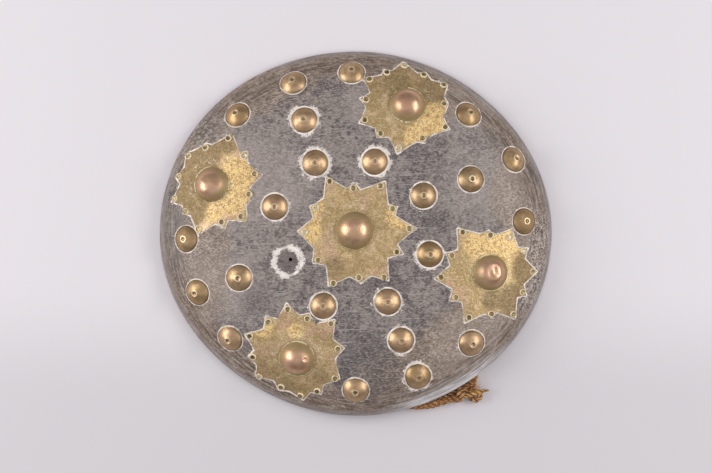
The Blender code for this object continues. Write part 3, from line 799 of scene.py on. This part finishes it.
def tackMesh(star):
    heads = bmesh.new()
    head, high, lip = tacks["radius"], tacks["height"], tacks["lip"]
    section = [
        (0, high * 0.66), (head * 0.45, high * 0.64), (head * 0.72, high * 0.60), (head * 0.86, high * 0.92),
        (head, high), (lip * 0.94, high * 0.72), (lip, -0.0003), (0, -0.0003),
    ]
    for number, (middle, axis) in enumerate(tackPlaces(star)):
        size = 1 + 0.08 * ripple((*middle.xy, number), 1.3)
        single = spunMesh([(radius * size, height) for radius, height in section], tacks["sides"])
        for vertex in single.verts:
            vertex.co.z += tacks["uneven"] * ripple(vertex.co + Vector((number, 0, 0)), tacks["unevenSize"])
        standOn(single, middle + axis * stars["thickness"], axis, turn=number * 47)
        addMesh(heads, single)
    return heads


def tackFinish():
    finish = Finish("tackFinish")
    out = finish.value("headShare")
    mottle = finish.grain(800, 3)
    finish.tone = finish.mix(finish.rise(mottle, 0.4, 0.65), (0.310, 0.225, 0.100), (0.500, 0.380, 0.190))
    middle = finish.fall(out, 0.42, 0.60) * finish.rise(finish.grain(50, 1), 0.48, 0.60)
    finish.paint(middle * 0.7, (0.110, 0.078, 0.040))
    groove = finish.rise(out, 0.52, 0.60) * finish.fall(out, 0.66, 0.72)
    finish.paint(groove * 0.6, (0.130, 0.092, 0.040))
    filled = finish.value("headFill") * finish.rise(mottle, 0.36, 0.46) * 0.6
    ring = finish.rise(out, 0.68, 0.76) * finish.rise(mottle + finish.grain(160, 2), 0.70, 0.90)
    ring = finish.most(ring, filled)
    finish.paint(ring * 0.80, (0.960, 0.840, 0.600))
    return finish.done(0.42, 0.95 - ring * 0.85)


# Polished patches on each star, with a painted highlight laid over them
starPolishedHighlitAreas = {  # bright patches: x, y, radius, soft border
    "centre": ((-0.044, 0.004, 0.008, 0.012), (0.037, 0.015, 0.005, 0.013), (-0.034, 0.024, 0.002, 0.010)),
    "top": ((0.069, 0.095, 0.012, 0.016), (0.052, 0.083, 0.005, 0.012)),
    "left": ((-0.103, 0.048, 0.009, 0.014), (-0.107, 0.030, 0.008, 0.012), (-0.122, 0.018, 0.003, 0.010)),
    "right": ((0.124, -0.008, 0.009, 0.013), (0.104, -0.010, 0.006, 0.012), (0.136, -0.013, 0.002, 0.010)),
    "bottom": ((-0.079, -0.082, 0.003, 0.012), (-0.052, -0.084, 0.001, 0.010)),
}
starDulls = {
    "centre": ((-0.018, -0.030, 0.002, 0.014),),
    "top": ((0.036, 0.128, 0.002, 0.024), (0.068, 0.124, 0.005, 0.020)),
    "left": ((-0.155, 0.046, 0.016, 0.034), (-0.142, 0.062, 0.014, 0.028), (-0.144, 0.026, 0.008, 0.026),
             (-0.126, 0.070, 0.004, 0.018), (-0.110, 0.078, 0.003, 0.014)),
    "right": ((0.118, -0.058, 0.001, 0.018), (0.138, -0.060, 0.007, 0.022), (0.152, -0.031, 0.008, 0.024)),
    "bottom": ((-0.060, -0.134, 0.001, 0.020), (-0.030, -0.124, 0.000, 0.014)),
}


def makeStars():
    tackMetal = tackFinish()
    chance = random.Random(3)
    for name, star in starPoints.items():
        node = "star_plate_" + name
        title = name.capitalize()
        brass = brassFinish("starBrass" + title, starPolishedHighlitAreas[name], starDulls[name])
        plate = newPiece("starPlate" + title, plateMesh(star), brass, [node], smoothUnder=30)
        points = pointsOf(plate)
        storeValues(plate, "edgeIn", -awayFromOutline(points, starCorners(star)))
        x, y = onDisc(*star["place"])
        storeValues(plate, "bossAway", np.hypot(points[:, 0] - x, points[:, 1] - y) - bossRadius(name))
        heads = newPiece("starTacks" + title, tackMesh(star), tackMetal, [node], 60)
        points = pointsOf(heads)
        shares = [awayFromAxis(points, *place) / tacks["lip"] for place in tackPlaces(star)]
        storeValues(heads, "headShare", np.min(shares, axis=0))
        filled = np.array([float(chance.random() < tacks["filled"]) for share in shares])
        storeValues(heads, "headFill", filled[np.argmin(shares, axis=0)])
    print("stars made")


# Bosses

bosses = {
    "radius": 0.0151,
    "centreRadius": 0.0162,
    "height": 0.0105,
    "wall": 0.0012,
    "crownWall": 0.001,
    "sides": 72,
    "rings": 22,
    "hammered": ((0.00016, 0.006, 0), (0.00034, 0.012, 3)),  # depth, size and seed
    "dents": {  # across, up, radius, depth
        "right": (0.0012, 0.0010, 0.0066, 0.0010),
        "bottom": (0.0062, 0.0058, 0.0022, 0.0008),
    },
    "leans": {  # how far the crown stands over
        "left": (0.0024, -0.0002),
        "top": (-0.0008, -0.0006),
        "bottom": (0.0006, 0.0010),
    },
}


def bossRadius(name):
    return bosses["centreRadius"] if name == "centre" else bosses["radius"]


def domeSection(radius, height, rings):
    # Down the outside of a round cap from its top
    ball = (radius ** 2 + height ** 2) / (2 * height)
    full = math.asin(radius / ball)
    return [(ball * math.sin(full * step / rings), height - ball * (1 - math.cos(full * step / rings)))
            for step in range(rings + 1)]


def bossMesh(name, star):
    radius = bossRadius(name)
    outside = domeSection(radius - 0.0001, bosses["height"], bosses["rings"])
    foot = [(radius, 0.0004), (radius + 0.0003, -0.0001), (radius - 0.0011, -0.0004)]
    inside = [((radius - bosses["wall"]) * share, (bosses["height"] - bosses["crownWall"]) * (1 - share ** 2))
              for share in (0.9, 0.6, 0.3, 0)]
    mesh = spunMesh(outside[:-1] + foot + inside, bosses["sides"])
    dent = bosses["dents"].get(name)
    leanX, leanY = bosses["leans"].get(name, (0, 0))
    for vertex in mesh.verts:
        high = max(0.0, vertex.co.z / bosses["height"])
        vertex.co.z += high * sum([depth * ripple(vertex.co, size, len(name) + seed)
                                   for depth, size, seed in bosses["hammered"]])
        if dent:
            away = math.hypot(vertex.co.x - dent[0], vertex.co.y - dent[1])
            press = smoothStep(1.25 - away / dent[2])
            lip = math.exp(-((away - dent[2]) / (0.30 * dent[2])) ** 2)
            wobble = 1 + 0.6 * ripple((vertex.co.x, vertex.co.y, 0), 0.004, 5)
            vertex.co.z -= high * dent[3] * (press * wobble - 0.22 * lip)
        vertex.co.x += leanX * high
        vertex.co.y += leanY * high
    middle, axis = frontPoint(*onDisc(*star["place"]))
    standOn(mesh, middle + axis * (stars["thickness"] + 0.0001), axis)
    return mesh


def bossFinish():
    finish = Finish("bossFinish", metallic=1.0)
    out = finish.value("outShare")
    clouds = finish.grain(110, 4, bend=0.5)
    tints = finish.grain(70, 2, turn=25)
    fine = finish.grain(1000, 4, rough=0.75)
    finish.tone = finish.mix(finish.rise(clouds, 0.35, 0.66), (0.575, 0.338, 0.212), (0.705, 0.448, 0.300))
    finish.paint(finish.rise(tints, 0.52, 0.66) * 0.6, (0.620, 0.430, 0.225))
    # Olive patina on the flank toward the foot, darkened and dulled further as painted shade for the
    # lamp-facing sides of the flanks
    foot = finish.rise(out + (clouds - 0.5) * 0.3, 0.56, 0.92)
    finish.paint(foot * 0.85, (0.330, 0.245, 0.112))
    finish.paint(finish.rise(fine, 0.54, 0.70) * 0.25, (0.900, 0.680, 0.480))
    finish.paint(finish.fall(fine, 0.30, 0.44) * 0.5, (0.330, 0.210, 0.110))
    finish.bump(clouds * 1.6 + fine * 0.14, 0.00028)
    return finish.done(0.37 + (clouds - 0.5) * 0.16 + foot * 0.22, 1 - foot * 0.55)


def makeBosses():
    metal = bossFinish()
    for name, star in starPoints.items():
        piece = newPiece("boss" + name.capitalize(), bossMesh(name, star), metal,
                         ["boss_" + name], smoothUnder=70)
        middle, axis = frontPoint(*onDisc(*star["place"]))
        storeValues(piece, "outShare", awayFromAxis(pointsOf(piece), middle, axis) / bosses["radius"])
    print("bosses made")


# Studs

def studMesh(number, back):
    ringHeight = studs["pinRingHeight"] * studs["pinRings"][number]
    radius, top, pin = studs["radius"], studs["height"], studs["pinRadius"]
    clench, end = studs["clenchRadius"], back + studs["clenchThickness"]
    pinEnd = [(0, top - ringHeight * 2.6), (0.0012, top - ringHeight * 2.4),
              (0.0017, top - ringHeight * 0.6), (0.0022, top + ringHeight * 0.4),
              (0.0027, top + ringHeight * 0.3), (0.0031, top - ringHeight * 0.4)]
    dome = [point for point in domeSection(radius - 0.0004, top, studs["domeRings"]) if point[0] > 0.0036]
    foot = [(radius, -0.0002), (radius - 0.0009, -0.0005)]
    inside = [(radius * 0.6, top * 0.45), (pin, top - 0.0014)]
    shank = [(pin, -back), (clench, -back - 0.0001), (clench, -back - 0.0004), (clench * 0.7, -end),
             (0, -end)]
    mesh = spunMesh(pinEnd + dome + foot + inside + shank, studs["sides"])
    for vertex in mesh.verts:
        spot = vertex.co.copy()
        out = math.hypot(spot.x, spot.y) / radius
        if spot.z > -0.0004 and out > 0.05:
            hammered = ripple(spot, studs["hammeredSize"], number * 1.3)
            wide = ripple((spot.x / radius, spot.y / radius, number), 1.1, 2.0)
            wide = 1 + studs["outOfRound"] * wide * out
            vertex.co.z += studs["hammered"] * hammered * smoothStep((spot.z + 0.0002) / 0.002)
            vertex.co.x *= wide
            vertex.co.y *= wide
    return mesh


def studFinish():
    finish = Finish("studFinish", metallic=1.0)
    out = finish.value("outShare")
    tint = finish.value("tint")
    clouds = finish.grain(150, 4, bend=0.5)
    mottle = finish.grain(420, 3)
    fine = finish.grain(1200, 3)
    cloudy = finish.rise(clouds + (tint - 0.5) * 0.3, 0.35, 0.66)
    finish.tone = finish.mix(cloudy, (0.430, 0.286, 0.148), (0.580, 0.408, 0.244))
    finish.paint(finish.rise(tint + (clouds - 0.5) * 0.8, 0.50, 0.85) * 0.35, (0.530, 0.325, 0.200))
    finish.paint(finish.fall(mottle, 0.30, 0.46) * 0.4, (0.360, 0.240, 0.100))
    # Painted shade: a dark band round each stud's foot, where it meets the hide
    finish.paint(finish.rise(out + (mottle - 0.5) * 0.10, 0.86, 0.97) * 0.75, (0.220, 0.150, 0.075))
    pinPaintedLight = finish.value("pinPaintedLightShare")
    # Painted highlight on the raised ring of each pin end, and painted shade in its dimple, as strong as each
    # pin shows
    ring = finish.rise(out, 0.16, 0.19) * finish.fall(out, 0.24, 0.28) * pinPaintedLight
    hole = finish.fall(out, 0.12, 0.16) * pinPaintedLight
    finish.paint(ring * 0.85, (0.950, 0.820, 0.560))
    finish.paint(hole * 0.8, (0.160, 0.105, 0.055))
    finish.bump(clouds * 1.4 + mottle * 0.25 + fine * 0.10, 0.00022)
    return finish.done(0.44 + (clouds - 0.5) * 0.20)


def makeStuds():
    metal = studFinish()
    chance = random.Random(5)
    for number, place in enumerate(studPlaces):
        middle, axis = frontPoint(*onDisc(*place))
        mesh = studMesh(number, disc["thickness"] + studs["clenchGap"])
        standOn(mesh, middle, axis, turn=number * 71)
        label = f"{number + 1:02d}"
        piece = newPiece("stud" + label, mesh, metal, ["stud_" + label], smoothUnder=60)
        out = awayFromAxis(pointsOf(piece), middle, axis)
        storeValues(piece, "outShare", out / studs["radius"])
        storeValues(piece, "tint", np.full(len(out), chance.random()))
        storeValues(piece, "pinPaintedLightShare", np.full(len(out), studs["pinRings"][number]))
    print("studs made")


# Cord: two plies of plant fibre on the same route as the solids

cord = {
    "radius": 0.0036,
    "holeRoom": 0.0005,
    "plyRadius": 0.0020,
    "plyOffset": 0.0016,
    "twistPitch": 0.0092,
    "lumps": 0.14,
    "lumpSize": 0.004,
    "stepsPerStretch": 14,
    "knotSteps": 7,
    "sides": 10,
    "rightRoute": (
        (0.1159, -0.0342, 0.0372), (0.1159, -0.0342, 0.0260), (0.1156, -0.0356, 0.0168),
        (0.1140, -0.0402, 0.0101), (0.1115, -0.0482, 0.0055), (0.1096, -0.0580, 0.0040),
        (0.1087, -0.0720, 0.0038), (0.1092, -0.0870, 0.0038), (0.1085, -0.1020, 0.0038),
        (0.1062, -0.1150, 0.0038), (0.1036, -0.1265, 0.0040), (0.1021, -0.1338, 0.0048),
    ),
    "bottomRoute": (
        (-0.0508, -0.1083, 0.0358), (-0.0508, -0.1083, 0.0250), (-0.0502, -0.1088, 0.0168),
        (-0.0468, -0.1108, 0.0101), (-0.0398, -0.1142, 0.0055), (-0.0305, -0.1182, 0.0040),
        (-0.0160, -0.1243, 0.0038), (0.0010, -0.1315, 0.0038), (0.0170, -0.1395, 0.0038),
        (0.0330, -0.1470, 0.0038), (0.0490, -0.1512, 0.0038), (0.0640, -0.1508, 0.0038),
        (0.0780, -0.1470, 0.0042), (0.0905, -0.1437, 0.0050),
    ),
    "knotRoute": (  # twice round the strands, up beside the rim, back down and round to the tail
        (0.0872, -0.1440, 0.0046), (0.0884, -0.1464, 0.0040), (0.0892, -0.1450, 0.0086),
        (0.0903, -0.1412, 0.0102), (0.0912, -0.1376, 0.0078), (0.0915, -0.1366, 0.0036),
        (0.0912, -0.1412, 0.0026), (0.0912, -0.1458, 0.0036), (0.0920, -0.1448, 0.0086),
        (0.0931, -0.1410, 0.0102), (0.0940, -0.1376, 0.0074), (0.0948, -0.1362, 0.0042),
        (0.0964, -0.1340, 0.0050), (0.0990, -0.1318, 0.0058), (0.1020, -0.1314, 0.0062),
        (0.1040, -0.1336, 0.0062), (0.1036, -0.1366, 0.0058), (0.1012, -0.1392, 0.0052),
        (0.1002, -0.1424, 0.0046), (0.1020, -0.1454, 0.0042), (0.1056, -0.1464, 0.0044),
        (0.1086, -0.1444, 0.0050), (0.1082, -0.1412, 0.0056), (0.1052, -0.1396, 0.0054),
    ),
    "knotPly": 0.0014,
    "plySpacing": 0.80,  # of a knotted ply's radius
    "bandRoute": (
        (0.0935, -0.1432, 0.0078), (0.0964, -0.1424, 0.0086), (0.1002, -0.1416, 0.0086),
        (0.1040, -0.1404, 0.0082), (0.1076, -0.1396, 0.0070), (0.1110, -0.1389, 0.0054),
    ),
    "bandPly": 0.0012,
    "tuckRoute": (  # along the rim's underside, behind the strands
        (0.0700, -0.1470, 0.0032), (0.0760, -0.1448, 0.0034), (0.0820, -0.1422, 0.0036),
        (0.0875, -0.1394, 0.0040), (0.0925, -0.1388, 0.0040), (0.0972, -0.1376, 0.0040),
        (0.1005, -0.1352, 0.0040),
    ),
    "tuckPly": 0.0014,
    "tailStart": (0.1085, -0.1388, 0.0050),
    "tailTip": (0.1172, -0.1376, 0.0064),
    "tailFibres": 26,
    "looseFibres": 16,
}


def curveThrough(route, steps):
    points = [Vector(point) for point in route]
    ends = [points[0] * 2 - points[1]] + points + [points[-1] * 2 - points[-2]]
    line = []
    for before, start, end, after in zip(ends, ends[1:], ends[2:], ends[3:]):
        for step in range(steps):
            share = step / steps
            line.append(0.5 * (2 * start + (end - before) * share
                               + (2 * before - 5 * start + 4 * end - after) * share ** 2
                               + (3 * start - before - 3 * end + after) * share ** 3))
    return line + [points[-1]]


def awayFromLine(points, line):
    return np.min([np.linalg.norm(points - np.array(spot), axis=1) for spot in line], axis=0)


def walk(line):
    # Each point of a line, with two directions square to it
    side = None
    for index, spot in enumerate(line):
        way = (line[min(index + 1, len(line) - 1)] - line[max(index - 1, 0)]).normalized()
        side = (way.orthogonal() if side is None else side - way * side.dot(way)).normalized()
        yield spot, side, way.cross(side)


def sweptMesh(line, radii, sides):
    # A tube along a line of points, made by extruding one ring from point to point
    mesh = bmesh.new()
    ring = bmesh.ops.create_circle(mesh, segments=sides, radius=1)["verts"]
    first, loops, order = ring, mesh.edges[:], None
    for (spot, side, other), radius in zip(walk(line), radii):
        if order:
            grown = bmesh.ops.extrude_edge_only(mesh, edges=loops)["geom"]
            loops = only(bmesh.types.BMEdge, grown)
            ring = sorted(only(bmesh.types.BMVert, grown), key=lambda vertex: order[vertex.co.to_tuple(7)])
        for number, vertex in enumerate(ring):
            turn = 2 * math.pi * number / sides
            vertex.co = spot + radius * (math.cos(turn) * side + math.sin(turn) * other)
        order = {vertex.co.to_tuple(7): number for number, vertex in enumerate(ring)}
    start = [edge for edge in mesh.edges if all(end in first for end in edge.verts)]
    bmesh.ops.contextual_create(mesh, geom=loops)
    bmesh.ops.contextual_create(mesh, geom=start)
    bmesh.ops.recalc_face_normals(mesh, faces=mesh.faces)
    return mesh


def twistedMesh(line, plyRadius, plyOffset, seed):
    # Two plies wound round a line of points, each a little lumpy
    mesh = bmesh.new()
    for ply in range(2):
        travelled, before = 0.0, line[0]
        spots, radii = [], []
        for spot, side, other in walk(line):
            travelled += (spot - before).length
            before = spot
            turn = 2 * math.pi * (travelled / cord["twistPitch"] + ply / 2)
            spots.append(spot + plyOffset * (math.cos(turn) * side + math.sin(turn) * other))
            radii.append(plyRadius * (1 + cord["lumps"] * ripple(spot, cord["lumpSize"], seed + ply)))
        addMesh(mesh, sweptMesh(spots, radii, cord["sides"]))
    return mesh


def fibreFinish():
    finish = Finish("fibreFinish", roughness=0.85)
    clouds = finish.grain(170, 4)
    strands = finish.grain(1100, 2, stretch=(0.35, 1, 1), turn=35, rough=0.7)
    finish.tone = finish.mix(finish.rise(clouds, 0.38, 0.62), (0.330, 0.125, 0.034), (0.560, 0.280, 0.095))
    gold = 0.0
    for x, y, z in cord["bandRoute"]:
        gold = finish.most(gold, finish.near(x, y, z + cord["bandPly"], 0.0018, 0.0020))
    finish.paint(gold * 0.75, (0.740, 0.420, 0.120))
    finish.paint(finish.fall(strands, 0.38, 0.50) * 0.80, (0.085, 0.032, 0.012))
    finish.paint(finish.rise(strands, 0.54, 0.66) * 0.85, (0.780, 0.540, 0.320))
    # Painted shade: the inner faces of the plies, in the grooves between them, darkened almost to black
    finish.paint(finish.fall(finish.value("outShare"), 0.50, 0.86) * 0.90, (0.040, 0.016, 0.008))
    finish.bump(strands, 0.0007)
    return finish.done()


def fibreStrand(start, end, chance, sag, thick):
    bend = Vector((chance.uniform(-sag, sag), chance.uniform(-sag, sag), chance.uniform(0, sag)))
    shares = [step / 8 for step in range(9)]
    line = [start.lerp(end, share) + bend * math.sin(math.pi * share) + Vector((0, 0, sag * 0.3 * share ** 2))
            for share in shares]
    return sweptMesh(line, [thick * (1 - 0.65 * share) for share in shares], 5)


def knotMesh():
    mesh = bmesh.new()
    for part, seed in (("knot", 9), ("band", 4), ("tuck", 4)):
        line = curveThrough(cord[part + "Route"], cord["knotSteps"])
        ply = cord[part + "Ply"]
        addMesh(mesh, twistedMesh(line, ply, ply * cord["plySpacing"], seed))
    # The tail's fibres, then the loose ones that stand out of the knot
    chance = random.Random(11)
    start, tip = Vector(cord["tailStart"]), Vector(cord["tailTip"])
    for number in range(cord["tailFibres"]):
        across, up = chance.uniform(-0.002, 0.002), chance.uniform(-0.0016, 0.0016)
        root = start + Vector((across, up, chance.uniform(-0.0016, 0.0016)))
        end = root.lerp(tip, chance.uniform(0.65, 1.0))
        up = chance.uniform(-0.0009, 0.0007)
        end += Vector((0, up, chance.uniform(-0.0008, 0.0010)))
        addMesh(mesh, fibreStrand(root, end, chance, 0.0006, chance.uniform(0.00025, 0.00055)))
    for number in range(cord["looseFibres"]):
        root = Vector(chance.choice(cord["knotRoute"][13:19])) + Vector((0, 0, 0.001))
        turn = chance.uniform(-40, 85)
        across, up = toward(turn, chance.uniform(0.0045, 0.0085))
        end = root + Vector((across, up, chance.uniform(-0.001, 0.002)))
        end.z = max(end.z, 0.0006)
        addMesh(mesh, fibreStrand(root, end, chance, 0.0022, chance.uniform(0.00018, 0.00032)))
    return mesh


def makeCords():
    fibre = fibreFinish()
    knot = newPiece("cordKnot", knotMesh(), fibre, ["cord_knot"], smoothUnder=60)
    points = pointsOf(knot)
    shares = []
    for part in ("knot", "band", "tuck"):
        line = curveThrough(cord[part + "Route"], cord["knotSteps"])
        shares.append(awayFromLine(points, line) / (cord[part + "Ply"] * (1 + cord["plySpacing"])))
    storeValues(knot, "outShare", np.min(shares, axis=0))
    for side in ("right", "bottom"):
        route = cord[side + "Route"]
        line = curveThrough(route, cord["stepsPerStretch"])
        mesh = twistedMesh(line, cord["plyRadius"], cord["plyOffset"], 1)
        piece = newPiece("cord" + side.capitalize(), mesh, fibre, ["cord_" + side], smoothUnder=60)
        out = awayFromLine(pointsOf(piece), line) / (cord["plyRadius"] + cord["plyOffset"])
        storeValues(piece, "outShare", out)
        path = curveThrough(route, 2)
        length = sum((end - start).length for start, end in zip(path, path[1:]))
    print("cords made")


# Floor and light

studio = {
    "floorSize": 6.0,
    "floorFar": (0.800, 0.762, 0.790),
    "floorNear": (0.690, 0.658, 0.680),
    "skyColour": (0.985, 0.970, 1.000),
    "skyOverhead": 0.72,
    "skyLow": 0.27,
    "leftAngles": (62.0, 174.0),  # from straight up, and round from +X
    "leftSize": (1.10, 0.85),
    "leftPower": 15.5,
    "rightAngles": (53.0, 4.0),
    "rightSize": (1.45, 0.40),
    "rightPower": 12.5,
    "panelDistance": 1.7,
}


def makePanel(side):
    data = bpy.data.lights.new(side + "Panel", "AREA")
    data.shape = "RECTANGLE"
    data.size, data.size_y = studio[side + "Size"]
    data.energy = studio[side + "Power"]
    panel = inScene(side + "Panel", data)
    lean, turn = (math.radians(angle) for angle in studio[side + "Angles"])
    way = Vector((math.sin(lean) * math.cos(turn), math.sin(lean) * math.sin(turn), math.cos(lean)))
    panel.location = way * studio["panelDistance"]
    panel.rotation_euler = (-way).to_track_quat("-Z", "Y").to_euler()


def makeStudio():
    floorMesh = bmesh.new()
    bmesh.ops.create_grid(floorMesh, x_segments=1, y_segments=1, size=studio["floorSize"] / 2)
    data = meshData("paleFloor", floorMesh)
    finish = Finish("floorFinish", roughness=0.85)
    apart = finish.node("SeparateXYZ", inputs={0: finish.place}, output="Y")
    finish.tone = finish.mix(finish.rise(apart, -0.15, -0.04), studio["floorNear"], studio["floorFar"])
    data.materials.append(finish.done())
    inScene("paleFloor", data)

    makePanel("left")
    makePanel("right")

    world = bpy.data.worlds.new("studioSky")
    world.use_nodes = True
    bpy.context.scene.world = world
    sky = NodeMaker(world.node_tree)
    backdrop = sky.tree.nodes["Background"]
    way = sky.node("TexCoord", output="Generated")
    high = sky.node("SeparateXYZ", inputs={0: way}, output="Z")
    strength = sky.node("MapRange", inputs={
        "Value": high * high, "To Min": studio["skyLow"], "To Max": studio["skyOverhead"],
    })
    sky.feed(backdrop.inputs["Color"], studio["skyColour"])
    sky.feed(backdrop.inputs["Strength"], strength)
    bpy.context.scene.view_settings.view_transform = "Standard"
    print("studio made")


makeCamera()
makeCords()
makeDisc()
makeStars()
makeBosses()
makeStuds()
makeStudio()
